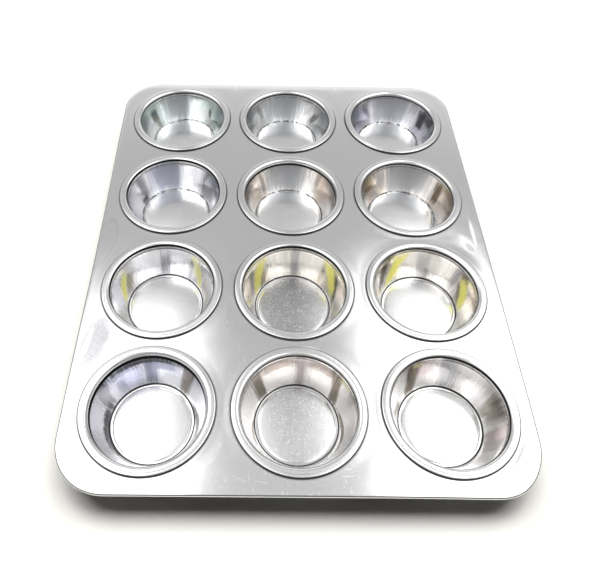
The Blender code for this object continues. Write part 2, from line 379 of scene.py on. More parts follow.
CUP_STAINS_AND_PAINTED_LIGHT: dict[str, CupLook] = {
    "cup_row1_column1": CupLook((0.95, 1.0, 0.99), (-0.7, 0.9), corner=0.15, panel=1.12, stains_and_painted_light=(
        StainOrPaintedLight(Tint.SAGE, 165, -5, 33, 5, 0.6), StainOrPaintedLight(Tint.WHITE, 172, -17, 20, 6.5, 0.9, 1.5),
        StainOrPaintedLight(Tint.CHARCOAL, 149, -11, 7, 5, 0.8), StainOrPaintedLight(Tint.OLIVE, 147, -17, 4, 5, 0.6),
        StainOrPaintedLight(Tint.ASH, 105, -11, 24, 14), StainOrPaintedLight(Tint.WHITE, 62, -16, 14, 6, 0.8),
        StainOrPaintedLight(Tint.CHARCOAL, 45, -12, 4, 4, 0.8, 0.5), StainOrPaintedLight(Tint.MINT, 28, -12, 12, 9, 0.5, 1),
        StainOrPaintedLight(Tint.SAGE, 14, -7, 10, 5, 0.6),
    )),
    "cup_row1_column2": CupLook((0.985, 0.99, 0.985), (-0.65, 0.9), corner=0.15, panel=1.12, stains_and_painted_light=(
        StainOrPaintedLight(Tint.GREY, 150, -5, 26, 4, 0.6), StainOrPaintedLight(Tint.WHITE, 152, -15, 12, 6, 0.5),
        StainOrPaintedLight(Tint.GREY, 137, -11, 5, 6, 0.8), StainOrPaintedLight(Tint.WHITE, 122, -18, 8, 4.5, 0.6),
        StainOrPaintedLight(Tint.ASH, 96, -11, 34, 14), StainOrPaintedLight(Tint.WHITE, 54, -18, 8, 4.5, 0.6),
        StainOrPaintedLight(Tint.GREY, 32, -5, 18, 4, 0.6), StainOrPaintedLight(Tint.CHARCOAL, 37, -13, 6, 5, 0.8, -0.8),
        StainOrPaintedLight(Tint.MINT, 18, -15, 10, 6, 0.4), StainOrPaintedLight(Tint.GREY, 54, -7, 8, 7, 0.7),
    )),
    "cup_row1_column3": CupLook((0.965, 0.96, 1.0), (-1.0, 0.95), corner=0.15, panel=1.12, stains_and_painted_light=(
        StainOrPaintedLight(Tint.GREY, 155, -7, 20, 6, 0.5), StainOrPaintedLight(Tint.LAVENDER, 143, -12, 13, 9, 0.5),
        StainOrPaintedLight(Tint.SLATE, 125, -11, 5, 6, 0.8, 0.8), StainOrPaintedLight(Tint.WHITE, 110, -18, 9, 4.5, 0.6),
        StainOrPaintedLight(Tint.ASH, 79, -11, 37, 14), StainOrPaintedLight(Tint.GREY, 44, -6, 7, 4, 0.7),
        StainOrPaintedLight(Tint.CHARCOAL, 25, -11, 9, 9, 1, 0.4), StainOrPaintedLight(Tint.CHARCOAL, 12, -5, 16, 4, 0.8),
        StainOrPaintedLight(Tint.PEARL, 18, -19, 13, 3, 0.7), StainOrPaintedLight(Tint.PEARL, 3, -14, 9, 6, 0.8, -1.3),
    )),
    "cup_row2_column1": CupLook((0.965, 0.968, 1.0), (0.45, 0.8), corner=0.2, panel=1.08, stains_and_painted_light=(
        StainOrPaintedLight(Tint.WHITE, 182, -13, 18, 10, 1, 0.6), StainOrPaintedLight(Tint.GREY, 149, -11, 7, 9, 0.8),
        StainOrPaintedLight(Tint.CHARCOAL, 157, -19.5, 8, 2, 0.8), StainOrPaintedLight(Tint.DUSK, 108, -11, 25, 14),
        StainOrPaintedLight(Tint.WHITE, 73, -16, 9, 6, 0.6), StainOrPaintedLight(Tint.GREY, 30, -5, 20, 5, 0.8),
        StainOrPaintedLight(Tint.GREY, 42, -10, 5, 8, 0.4), StainOrPaintedLight(Tint.MAUVE, 28, -15, 16, 6, 0.6),
    )),
    "cup_row2_column2": CupLook((1.0, 0.98, 0.96), (-1.6, 1.0), corner=0.2, panel=1.1, wear=1.2, stains_and_painted_light=(
        StainOrPaintedLight(Tint.BROWN, 165, -5, 24, 4, 0.8), StainOrPaintedLight(Tint.APRICOT, 158, -15, 16, 8),
        StainOrPaintedLight(Tint.UMBER, 133, -12, 4, 8, 0.6), StainOrPaintedLight(Tint.ASH, 95, -11, 34, 14),
        StainOrPaintedLight(Tint.WHITE, 56, -18, 9, 5, 0.6), StainOrPaintedLight(Tint.UMBER, 45, -8, 4, 6, 0.6),
        StainOrPaintedLight(Tint.BROWN, 18, -5, 22, 4, 0.7), StainOrPaintedLight(Tint.APRICOT, 22, -13, 17, 8),
    )),
    "cup_row2_column3": CupLook((1.0, 0.97, 0.945), (-0.5, 0.9), corner=0.2, panel=1.08, wear=1.2, stains_and_painted_light=(
        StainOrPaintedLight(Tint.OCHRE, 148, -8, 16, 7), StainOrPaintedLight(Tint.PEACH, 148, -17, 12, 5, 0.9),
        StainOrPaintedLight(Tint.ASH, 120, -9, 7, 6, 0.6), StainOrPaintedLight(Tint.CREAM, 126, -18, 6, 4.5, 0.6, 1),
        StainOrPaintedLight(Tint.ASH, 77, -11, 39, 14), StainOrPaintedLight(Tint.APRICOT, -2, -13, 20, 9),
        StainOrPaintedLight(Tint.UMBER, 26, -11, 7, 8, 1, 0.4), StainOrPaintedLight(Tint.OCHRE, 2, -3.5, 18, 3, 0.9),
    )),
    "cup_row3_column1": CupLook((0.985, 0.98, 1.0), (0.35, 0.8), corner=0.85, wear=1.3, stains_and_painted_light=(
        StainOrPaintedLight(Tint.PEARL, 182, -9, 16, 7, 0.8, -1.2), StainOrPaintedLight(Tint.OLIVE, 152, -15, 8, 6, 0.7, -1.4),
        StainOrPaintedLight(Tint.YELLOW, 166, -14, 8, 7, 0.9, -1.7), StainOrPaintedLight(Tint.GREY, 94, -14, 7, 9),
        StainOrPaintedLight(Tint.STEEL, 78, -4, 22, 4, 0.6), StainOrPaintedLight(Tint.GREY, 56, -14, 4, 8, 0.6),
        StainOrPaintedLight(Tint.UMBER, 8, -11, 20, 9, 0.6), StainOrPaintedLight(Tint.YELLOW, 41, -13, 7, 8.5, 0.7, 1.25),
    )),
    "cup_row3_column2": CupLook((1.0, 0.98, 0.94), (0.25, 0.8), corner=0.85, panel=0.58, wear=2.4, stains_and_painted_light=(
        StainOrPaintedLight(Tint.APRICOT, 176, -10, 15, 9), StainOrPaintedLight(Tint.UMBER, 158, -10, 6, 7, 0.5, -1.4),
        StainOrPaintedLight(Tint.OLIVE, 137, -17, 6, 5, 0.8, -1.4), StainOrPaintedLight(Tint.YELLOW, 145, -13, 10, 9, 1, -1.4),
        StainOrPaintedLight(Tint.GREY, 86, -12, 6, 12, 0.8), StainOrPaintedLight(Tint.OLIVE, 46, -12, 3, 9, 0.6),
        StainOrPaintedLight(Tint.APRICOT, 0, -8, 14, 6, 1, 1), StainOrPaintedLight(Tint.UMBER, 16, -12, 7, 9, 0.9, 1.7),
        StainOrPaintedLight(Tint.YELLOW, 28, -11, 10, 8.5, 1, 1.7),
    )),
    "cup_row3_column3": CupLook((1.0, 0.975, 0.94), (-0.35, 0.95), corner=0.85, wear=1.6, stains_and_painted_light=(
        StainOrPaintedLight(Tint.MAUVE, 172, -11, 18, 10, 0.9), StainOrPaintedLight(Tint.UMBER, 142, -9, 10, 9, 1, -1.9),
        StainOrPaintedLight(Tint.YELLOW, 124, -13, 10, 9, 1, -1.9), StainOrPaintedLight(Tint.GREY, 80, -13, 9, 10, 0.6),
        StainOrPaintedLight(Tint.GREY, 33, -10, 5, 11, 0.8), StainOrPaintedLight(Tint.APRICOT, -12, -9, 16, 8, 1, 1.2),
        StainOrPaintedLight(Tint.UMBER, 22, -6, 8, 4, 0.8, 1), StainOrPaintedLight(Tint.UMBER, 15, -15, 7, 6, 0.7, 1.8),
        StainOrPaintedLight(Tint.YELLOW, 8, -13.5, 10, 7.5, 1, 1.8),
    )),
    "cup_row4_column1": CupLook((0.95, 0.948, 1.0), (-2.6, 1.1), corner=0.95, stains_and_painted_light=(
        StainOrPaintedLight(Tint.PEARL, 187, -9, 18, 7), StainOrPaintedLight(Tint.GREY, 157, -11, 9, 10, 1, -0.6),
        StainOrPaintedLight(Tint.LAVENDER, 122, -13, 18, 10, 0.9), StainOrPaintedLight(Tint.SLATE, 130, -6.5, 20, 3, 0.7),
        StainOrPaintedLight(Tint.SLATE, 94, -12, 9, 12), StainOrPaintedLight(Tint.SLATE, 80, -8, 20, 4, 0.9),
        StainOrPaintedLight(Tint.WHITE, 70, -17, 12, 5, 0.7), StainOrPaintedLight(Tint.CHARCOAL, 102, -5, 44, 1.6),
        StainOrPaintedLight(Tint.UMBER, 47, -12, 8, 13, 0.9), StainOrPaintedLight(Tint.CHARCOAL, 198, -20, 40, 3.6),
        StainOrPaintedLight(Tint.CHARCOAL, -10, -15.5, 15, 8.5, 1, -4.2), StainOrPaintedLight(Tint.CHARCOAL, -32, -8, 12, 8),
    )),
    "cup_row4_column2": CupLook((1.0, 0.975, 0.96), (-0.35, 0.95), corner=0.95, panel=0.85, wear=2.0, stains_and_painted_light=(
        StainOrPaintedLight(Tint.BLUSH, 172, -11, 18, 8, 0.6), StainOrPaintedLight(Tint.UMBER, 140, -13, 9, 12),
        StainOrPaintedLight(Tint.BROWN, 110, -5.5, 24, 3, 0.8), StainOrPaintedLight(Tint.MAUVE, 85, -12, 6, 12),
        StainOrPaintedLight(Tint.BROWN, 60, -5.5, 20, 3, 0.7), StainOrPaintedLight(Tint.UMBER, 37, -13, 7, 11, 1, 0.6),
        StainOrPaintedLight(Tint.YELLOW, 30, -3.6, 8, 1.2, 0.4), StainOrPaintedLight(Tint.UMBER, 200, -18, 12, 4.5, 1, 5),
        StainOrPaintedLight(Tint.UMBER, -12, -18, 14, 4.5, 1, -7),
    )),
    "cup_row4_column3": CupLook((1.0, 0.982, 0.965), (0.05, 0.9), corner=0.95, wear=1.4, stains_and_painted_light=(
        StainOrPaintedLight(Tint.GREY, 190, -12, 20, 11, 0.9), StainOrPaintedLight(Tint.UMBER, 168, -18, 16, 4, 0.9),
        StainOrPaintedLight(Tint.UMBER, 122, -12, 10, 12, 1, -0.8), StainOrPaintedLight(Tint.YELLOW, 113, -4, 6, 1.3, 0.5),
        StainOrPaintedLight(Tint.MAUVE, 98, -7, 14, 6, 0.6), StainOrPaintedLight(Tint.GREY, 76, -11, 11, 13, 0.9),
        StainOrPaintedLight(Tint.UMBER, 9, -11, 14, 10, 0.8), StainOrPaintedLight(Tint.MAUVE, -26, -12, 16, 10),
    )),
}


class Finish:
    """A material that is made of nodes."""

    def __init__(self, name: str) -> None:
        """Make an empty material with nodes.

        Args:
            name: Its name.
        """
        self.material = bpy.data.materials.new(name)
        self.material.use_nodes = True
        self.material.node_tree.nodes.clear()
        self.net = Net(self.material.node_tree)

    def place(self, centre: Sequence[float] = (0.0, 0.0, 0.0)) -> Signal:
        """Return the place on the piece, in millimetres.

        Args:
            centre: Where it is measured from, in metres.

        Returns:
            The place.
        """
        coordinates = self.net.signal("ShaderNodeTexCoord", output="Object")
        sockets = {
            "Vector": coordinates,
            "Location": tuple(-value / MM for value in centre),
            "Scale": (1 / MM, 1 / MM, 1 / MM),
        }
        return self.net.signal("ShaderNodeMapping", None, sockets)

    def facing_down(self) -> Signal:
        """Return 1 where the surface looks down and 0 where it looks up or sideways."""
        normal = self.net.signal("ShaderNodeNewGeometry", output="Normal")
        return self.net.step(0.0 - self.net.parts(normal)[2], 0.1, 0.3)

    def turned(self, place: Signal, angle: float, stretch: Sequence[float]) -> Signal:
        """Return the place turned about Z and then stretched.

        Args:
            place: The place on the piece, in millimetres.
            angle: The turn, in radians.
            stretch: What each direction is multiplied by.

        Returns:
            The turned place.
        """
        sockets = {"Vector": place, "Rotation": (0.0, 0.0, angle)}
        turned = self.net.signal("ShaderNodeMapping", None, sockets)
        return self.net.vector_math("MULTIPLY", turned, tuple(stretch))

    def bent(self, place: Signal, scale: float, amount: float, seed: float) -> Signal:
        """Return the place pushed about by soft noise, so that straight patterns bend.

        Args:
            place: The place on the piece, in millimetres.
            scale: The noise's scale.
            amount: How far it pushes.
            seed: Which noise.

        Returns:
            The pushed place.
        """
        sockets = {"Vector": place, "W": seed, "Scale": scale, "Detail": 1.0}
        push = self.net.signal("ShaderNodeTexNoise", {"noise_dimensions": "4D"}, sockets, "Color")
        centred = self.net.vector_math("SUBTRACT", push, (0.5, 0.5, 0.5))
        scaled = self.net.vector_math("MULTIPLY", centred, (amount, amount, amount))
        return self.net.vector_math("ADD", place, scaled)

    def scratches(self, place: Signal, sets: Iterable[ScratchSet], seed: float = 0.0) -> Signal:
        """Return a mask of thin scratches.

        Args:
            place: The place on the piece, in millimetres.
            sets: The sets of scratches.
            seed: What is added to each set's own seed.

        Returns:
            1 on a scratch and 0 off it.
        """
        masks = []
        for item in sets:
            stretch = (1 / item.length, 1 / item.width, 1 / item.length)
            lines = self.net.noise(self.turned(place, item.roll.value, stretch), 1.0, 1.0, seed + item.seed)
            threshold = 0.78 - 0.12 * item.amount
            masks.append(self.net.step(lines, threshold, threshold + 0.03))
        return self.net.largest(*masks)

    def finish(self, colour: Any, roughness: Any, height: Signal | None, metallic: float = 1.0) -> None:
        """Join the shader up.

        Args:
            colour: The base colour.
            roughness: The roughness.
            height: The relief in millimetres, if any.
            metallic: 1 for metal and 0 for anything else.
        """
        sockets = {"Base Color": self.net.colour(colour), "Roughness": roughness, "Metallic": metallic}
        if height is not None:
            relief = {"Height": height, "Distance": MM, "Strength": 1.0}
            sockets["Normal"] = self.net.signal("ShaderNodeBump", None, relief)
        shader = self.net.signal("ShaderNodeBsdfPrincipled", None, sockets)
        self.net.node("ShaderNodeOutputMaterial", None, {"Surface": shader})


@dataclass(frozen=True)
class DeckSteel:
    """The deck's finish: rolled sheet, satin, with scratches, specks and handling marks, and painted light:
    painted highlights and dark reflections among the marks, a painted shadow round each ring, painted lines
    along the rolled edge and painted shade on its downward faces.
    """

    ring_radius: float
    name: str = "deck_steel"
    pitch: Point = (88 * MM, 85 * MM)
    middle: Point = (0.0, 43.9 * MM)
    colour: Colour = (0.70, 0.70, 0.70)
    roughness: float = 0.13
    # Painted shade and dark reflection on the rolled edge; also the rim of the tide mark
    roll_dark: Colour = (0.16, 0.16, 0.15)
    # Painted highlight along the rolled edge
    roll_highlight: Colour = (0.95, 0.95, 0.93)
    # Colour of the painted shadow round each ring's lip
    ring_shadow_colour: Colour = (0.30, 0.30, 0.30)
    pit_shade: Colour = (0.38, 0.38, 0.37)
    # Soft edge of that painted shadow, in millimetres outside the ring
    ring_shadow_edge: Point = (0.2, 0.8)
    # Where the rolled edge is painted, in degrees round the roll: the dark line, the highlight and the shaded
    # part turned under
    dark_line: tuple[Point, Point] = ((12.0, 24.0), (48.0, 62.0))
    light_line: tuple[Point, Point] = ((55.0, 70.0), (110.0, 130.0))
    hidden_roll: Point = (115.0, 130.0)
    front_wear: Point = (40.0, 175.0)
    mark_edge: Point = (0.45, 1.05)
    scratch_share: float = 0.3
    pit_share: float = 0.35
    # Strength of that painted shadow
    ring_shadow_share: float = 0.6
    grain_relief: float = 0.004
    scratch_relief: float = 0.004
    pit_relief: float = 0.012
    scoring: tuple[ScratchSet, ...] = (
        ScratchSet(Roll.ALONG, 11.0, 0.16, 0.5, 2.0),
        ScratchSet(Roll.SLANTED, 12.0, 0.18, 0.4, 5.0),
        ScratchSet(Roll.ACROSS, 9.0, 0.16, 0.4, 9.0),
    )
    # The white marks are painted highlights, one of them a dent's painted shine. The dent's dark blob and the
    # dark patch left of the middle cup's ring in the third row are painted dark reflections. The rest are a
    # tide mark, a rubbed patch, grey bands along the left and right edges and a smudge.
    marks: tuple[Mark, ...] = (
        Mark(-133, -6, 24, 8, 78, 0.55, (0.42, 0.41, 0.42), rim=0.1),
        Mark(-126, -84, 28, 12, 78, 0.80, (0.20, 0.19, 0.22)),
        Mark(-131, -88, 18, 2, 80, 0.9, Tint.WHITE.value),
        Mark(-138, -40, 90, 4, 90, 0.5),
        Mark(134, 2, 32, 3, -88, 0.7, (0.36, 0.36, 0.36)),
        Mark(130, 9, 15, 1.6, 90, 0.9, Tint.WHITE.value),
        Mark(124, -2, 11, 5, -70, 0.5, Tint.WHITE.value),
        Mark(125, -5, 6, 3, -60, 0.9, (0.34, 0.34, 0.34)),
        Mark(130, -58, 13, 3, -78, 0.4),
        Mark(-41, -40, 16, 4, 90, 0.6, (0.40, 0.40, 0.40)),
        Mark(6, -87, 9, 2.5, 0, 0.6, Tint.WHITE.value),
    )

    def make(self) -> bpy.types.Material:
        """Make the finish's nodes, from the bare sheet to the marks and the painted light on it.

        Returns:
            The material.
        """
        made = Finish(self.name)
        net = made.net
        place = made.place()
        x, y, _ = net.parts(place)
        front = net.step(0.0 - y, *self.front_wear)
        cloud = net.noise(place, 0.03, 3.0, 1.7)
        grain = net.noise(place, 1.6, 3.0, 4.1)
        pits = net.step(net.noise(place, 0.9, 1.0, 8.3), 0.76, 0.82)
        specks = net.step(net.noise(place, 1.1, 1.0, 12.9) + 0.04 * front, 0.70, 0.76)
        scratches = made.scratches(made.bent(place, 0.03, 14.0, 2.6), self.scoring)
        colour: Any = self.colour
        worn: Number = 0.0
        for mark in self.marks:
            inside, rim = self.oval(made, place, mark)
            mottled = inside * (0.6 + 0.8 * (grain - 0.3))
            colour = net.layers(colour, (mottled, mark.shade), (rim, self.roll_dark))
            worn = worn + inside
        colour = net.layers(
            colour,
            (scratches * self.scratch_share, Tint.WHITE.value),
            (specks * (0.15 + 0.45 * front), Tint.WHITE.value),
            (pits * self.pit_share, self.pit_shade),
            # painted shadow round each ring's lip
            (self.painted_ring_shadow(net, x, y) * self.ring_shadow_share, self.ring_shadow_colour),
            # painted shade on the downward faces
            (made.facing_down() * UNDERSIDE_SHARE, UNDERSIDE),
            # painted dark and light lines along the rolled edge
            *self.painted_roll_lines(net),
        )
        roughness = self.roughness + 0.05 * (cloud - 0.5) + 0.06 * (grain - 0.5) + 0.08 * scratches
        roughness = roughness + 0.10 * net.capped(worn)
        relief = self.grain_relief * grain - self.scratch_relief * scratches - self.pit_relief * pits
        made.finish(colour, roughness, relief)
        return made.material

    def painted_ring_shadow(self, net: Net, x: Signal, y: Signal) -> Signal:
        """Return the painted shadow: a thin dark line on the deck round each ring's lip.

        Args:
            net: The net of the material's nodes.
            x: The place across, in millimetres.
            y: The place along, in millimetres.

        Returns:
            The mask, 1 inside and 0 outside.
        """
        sides = []
        for value, pitch, middle, first, last in zip((x, y), self.pitch, self.middle, (-1, -2), (1, 1)):
            from_middle = value - middle / MM
            nearest = net.math("ROUND", from_middle / (pitch / MM))
            nearest = net.math("MINIMUM", net.math("MAXIMUM", nearest, first), last)
            sides.append(from_middle - nearest * (pitch / MM))
        return net.fades(net.distance(*sides) - self.ring_radius / MM, self.ring_shadow_edge)

    def painted_roll_lines(self, net: Net) -> Iterable[tuple[Signal, Colour]]:
        """Return the painted dark and light lines along the rolled edge: a dark reflection on its shoulder, a
        painted highlight on its side and painted shade on the part turned under.

        Args:
            net: The net of the material's nodes.

        Returns:
            The mask and the colour of each, the dark one first.
        """
        turn = net.signal("ShaderNodeAttribute", {"attribute_name": "roll_angle"}, output="Fac")
        dark = net.between(turn, *self.dark_line) + net.step(turn, *self.hidden_roll)
        light = net.between(turn, *self.light_line)
        return (dark * 0.85, self.roll_dark), (light * 0.8, self.roll_highlight)

    def oval(self, made: Finish, place: Signal, mark: Mark) -> tuple[Signal, Signal]:
        """Return a mark's soft inside and its thin rim, both with a ragged outline.

        Args:
            made: The finish.
            place: The place on the piece, in millimetres.
            mark: The mark.

        Returns:
            The inside's mask and the rim's.
        """
        net = made.net
        moved = net.vector_math("SUBTRACT", place, (mark.x, mark.y, 0.0))
        turned = made.turned(moved, -math.radians(mark.turn), (1 / mark.length, 1 / mark.width, 0.0))
        distance = net.vector_math("LENGTH", turned, output="Value")
        ragged = distance + 0.4 * (net.noise(place, 0.22, 3.0, 3.0) - 0.5)
        inside = mark.strength * net.fades(ragged, self.mark_edge)
        return inside, mark.rim * net.band(ragged, 0.94, 0.05, 0.06)


@dataclass(frozen=True)
class CupSteel:
    """A cup's finish: bright drawn sheet, streaked and heat-tinted up the wall with painted highlights, shade
    and reflections there, satin on the ring and floor, and painted shade in its crevices.
    """

    name: str
    centre: tuple[float, float, float]
    seed: float
    look: CupLook
    ring_radius: float
    mouth_radius: float
    floor_radius: float
    floor_height: float
    wall_top: float
    wall_colour: float = 0.95
    satin: float = 0.72
    roughness: float = 0.14
    haze: float = 0.25
    streak_shade: float = 0.75
    streak_share: float = 0.25
    stain_or_light_edge: Point = (0.50, 1.30)
    stain_or_light_raggedness: float = 0.35
    scratch_share: float = 0.4
    streak_relief: float = 0.026
    grain_relief: float = 0.010
    scratch_relief: float = 0.004
    pucker_relief: float = 0.05
    # The colour of the painted shade in the neck, under the crease, in the floor's corner and on the lip
    painted_shade: Colour = (0.02, 0.02, 0.02)
    panel_inset: float = 1.9 * MM
    scoring: tuple[ScratchSet, ...] = (
        ScratchSet(Roll.SLANTED, 7.0, 0.2, 0.8, 1.0),
        ScratchSet(Roll.ALONG, 8.0, 0.2, 0.8, 2.0),
        ScratchSet(Roll.ACROSS, 6.0, 0.2, 0.8, 3.0),
    )

    def make(self) -> bpy.types.Material:
        """Make the finish's nodes, from the bare steel to the painted shade on it.

        Returns:
            The material.
        """
        made = Finish(self.name)
        net = made.net
        place = made.place(self.centre)
        x, y, height = net.parts(place)
        radius = net.distance(x, y) + 0.001
        around = net.vector(x / radius, y / radius, 0.0)
        panel = (self.floor_radius - self.panel_inset) / MM
        wall = self.wall_mask(net, height) * net.step(radius, panel, panel + 0.6)
        floor = net.fades(radius, (panel - 0.6, panel)) * net.fades(height, (-22.0, -21.0))
        ring = net.step(height, 0.6, 1.1)
        satin = net.largest(floor, ring)
        streaks = self.streaks(net, around, height)
        grain = net.noise(place, 1.3, 3.0, self.seed)
        cloud = net.noise(place, 0.10, 2.0, self.seed + 0.6)
        specks = net.step(net.noise(place, 1.5, 1.0, self.seed + 0.2), 0.68, 0.74)
        scratches = made.scratches(made.bent(place, 0.06, 8.0, self.seed), self.scoring, self.seed)
        marks = net.largest(0.4 * scratches, 0.7 * specks) * floor * self.look.wear
        tinted = tuple(self.wall_colour * value for value in self.look.tint)
        streaked = tuple(self.streak_shade * value for value in tinted)
        colour: Any = net.blend(streaks * self.streak_share, tinted, streaked)
        bloom: Number = 0.0
        # Lay the wall's patches: heat tints, painted highlights, painted shade and painted reflections.
        for stain_or_light in self.look.stains_and_painted_light:
            mask = self.stain_or_light_mask(net, x, y, height, streaks, stain_or_light) * wall * stain_or_light.strength
            colour = net.blend(mask, colour, stain_or_light.tint.value)
            if stain_or_light.tint.dull:
                bloom = bloom + mask
        # The ring's and floor's satin colour. The cup's panel factor paints the floor brighter above 1 and
        # makes it duller below 1.
        shade = self.satin * (1.0 + (self.look.panel - 1.0) * floor) * (1.0 - 0.2 * grain)
        below = made.facing_down()
        colour = net.layers(
            colour,
            (1.0 - wall, net.vector(shade, shade, shade)),
            (net.capped(marks * self.scratch_share), Tint.WHITE.value),
            # painted shade in the neck, under the crease, in the floor's corner and on the lip
            (self.painted_shade_mask(net, place, radius, height), self.painted_shade),
            # painted shade on the downward faces
            (below * UNDERSIDE_SHARE, UNDERSIDE),
        )
        roughness = self.roughness + 0.08 * wall * (streaks - 0.3) + self.haze * net.capped(bloom)
        roughness = roughness + satin * (0.06 + 0.06 * (grain - 0.5)) + floor * (0.03 + 0.10 * (cloud - 0.5))
        roughness = roughness + 0.08 * marks + 0.2 * below
        pucker = wall * net.step(height, -11.0, -5.5) * net.noise(place, 0.9, 2.0, self.seed + 0.9)
        relief = wall * streaks * self.streak_relief + satin * grain * self.grain_relief
        relief = relief - self.scratch_relief * marks + self.pucker_relief * pucker
        made.finish(colour, roughness, relief)
        return made.material

    def wall_mask(self, net: Net, height: Signal) -> Signal:
        """Return 1 on the tapered wall and the bead, fading at the floor and at the neck."""
        low = self.floor_height / MM
        return net.between(height, (low + 0.4, low + 1.4), (-1.0, -0.6))

    def streaks(self, net: Net, around: Signal, height: Signal) -> Signal:
        """Return the fine lines that drawing leaves up the wall.

        Args:
            net: The net of the material's nodes.
            around: The direction from the cup's axis, one long.
            height: The height over the deck, in millimetres.

        Returns:
            How bright each line is, from 0 to 1.
        """
        scale = self.mouth_radius / MM
        on_wall = net.vector_math("MULTIPLY", around, (scale, scale, scale))
        tall = net.vector_math("ADD", on_wall, net.vector(0.0, 0.0, height * 0.05))
        fine = net.noise(tall, 1.3, 2.0, self.seed + 0.3)
        broad = net.noise(tall, 0.22, 1.0, self.seed + 0.7)
        return net.step(0.6 * fine + 0.4 * broad, 0.38, 0.62)

    def painted_shade_mask(self, net: Net, place: Signal, radius: Signal, height: Signal) -> Signal:
        """Return the painted shade in the lock seam's neck, under the wall's crease, in the floor's corner
        and on the lip.

        Args:
            net: The net of the material's nodes.
            place: The place on the piece, in millimetres.
            radius: The distance from the cup's axis.
            height: The height over the deck, in millimetres.

        Returns:
            The mask, 1 inside and 0 outside.
        """
        mouth = self.mouth_radius / MM
        inner = net.fades(radius, (mouth + 1.0, mouth + 1.3))
        neck = net.band(height, *self.look.neck, 0.3) * inner
        crease = net.band(height, self.wall_top / MM, 0.2, 0.3) * inner
        foot = self.floor_height / MM
        corner = net.step(radius - self.floor_radius / MM, -0.5, -0.2)
        corner = corner * net.fades(height, (foot + 1.0, foot + 1.5))
        lip = net.step(radius - self.ring_radius / MM, -1.2, -1.0) * net.fades(height, (1.0, 1.3))
        dashes = net.step(net.noise(place, 0.5, 2.0, self.seed + 0.4), 0.40, 0.60)
        corner = corner * (self.look.corner + (0.8 - self.look.corner * 0.8) * dashes)
        return net.largest(neck, 0.6 * crease, corner, 0.9 * lip)

    def stain_or_light_mask(
        self, net: Net, x: Signal, y: Signal, height: Signal, streaks: Signal, stain_or_light: StainOrPaintedLight
    ) -> Signal:
        """Return the mask of a patch on the wall, heat tint or painted light: a leaning, squarish oval,
        ragged along the wall's streaks.

        Args:
            net: The net of the material's nodes.
            x: The place across from the cup's axis.
            y: The place along from the cup's axis.
            height: The height over the deck, in millimetres.
            streaks: The wall's streaks.
            stain_or_light: The stain.

        Returns:
            The mask, 1 inside and 0 outside.
        """
        angle = math.radians(stain_or_light.azimuth)
        ahead = x * math.cos(angle) + y * math.sin(angle)
        aside = y * math.cos(angle) - x * math.sin(angle)
        turn = net.math("ARCTAN2", aside, ahead) * math.degrees(1.0)
        above = height - stain_or_light.height
        across = (turn - above * stain_or_light.lean) / stain_or_light.half_angle
        along = above / stain_or_light.half_height
        fourth_powers = across * across * across * across + along * along * along * along
        distance = net.math("POWER", fourth_powers, 1 / 4)
        return net.fades(distance + self.stain_or_light_raggedness * (streaks - 0.5), self.stain_or_light_edge)


@dataclass(frozen=True)
class WireSteel:
    """The rim wire's finish: dull drawn wire."""

    name: str = "wire_steel"
    colour: Colour = (0.42, 0.42, 0.41)
    roughness: float = 0.45

    def make(self) -> bpy.types.Material:
        """Make the finish's nodes.

        Returns:
            The material.
        """
        made = Finish(self.name)
        grain = made.net.noise(made.place(), 1.8, 3.0, 6.0)
        colour = made.net.blend(grain, self.colour, tuple(0.8 * value for value in self.colour))
        made.finish(colour, self.roughness + 0.15 * (grain - 0.5), 0.01 * grain)
        return made.material


@dataclass(frozen=True)
class StudioPaper:
    """The finish of the studio's floor: plain white paper."""

    name: str = "studio_paper"
    colour: Colour = (0.92, 0.92, 0.92)

    def make(self) -> bpy.types.Material:
        """Make the finish's nodes.

        Returns:
            The material.
        """
        made = Finish(self.name)
        grain = made.net.noise(made.place(), 0.02, 2.0, 5.0)
        colour = made.net.blend(grain, self.colour, tuple(0.98 * value for value in self.colour))
        made.finish(colour, 0.9, None, metallic=0.0)
        return made.material


@dataclass(frozen=True)
class Corner:
    """A corner of a section: its distance from the axis, its height and the radius that rounds it."""

    across: float
    height: float
    rounding: float = 0.0

    @property
    def point(self) -> Vector:
        """Return the corner as a vector."""
        return Vector((self.across, self.height))


def rounded_path(corners: Sequence[Corner], arc_steps: int) -> list[Point]:
    """Return a path through corners, each rounded by an arc.

    Args:
        corners: The corners in order; the first and last are kept as they are.
        arc_steps: How many steps a quarter turn has.

    Returns:
        The path's points.
    """
    path = [tuple(corners[0].point)]
    for before, corner, after in zip(corners, corners[1:], corners[2:]):
        arrive = (corner.point - before.point).normalized()
        leave = (after.point - corner.point).normalized()
        turn = arrive.angle_signed(leave)
        reach = corner.rounding * math.tan(abs(turn) / 2)
        if reach < SHORTEST:
            path.append(tuple(corner.point))
            continue
        start = corner.point - reach * arrive
        side = 1.0 if arrive.cross(leave) > 0 else -1.0
        middle = start + side * corner.rounding * Vector((-arrive.y, arrive.x))
        steps = max(1, math.ceil(abs(turn) / (math.pi / 2) * arc_steps))
        for step in range(steps + 1):
            angle = side * abs(turn) * step / steps
            path.append(tuple(middle + Matrix.Rotation(angle, 2) @ (start - middle)))
    path.append(tuple(corners[-1].point))
    return path


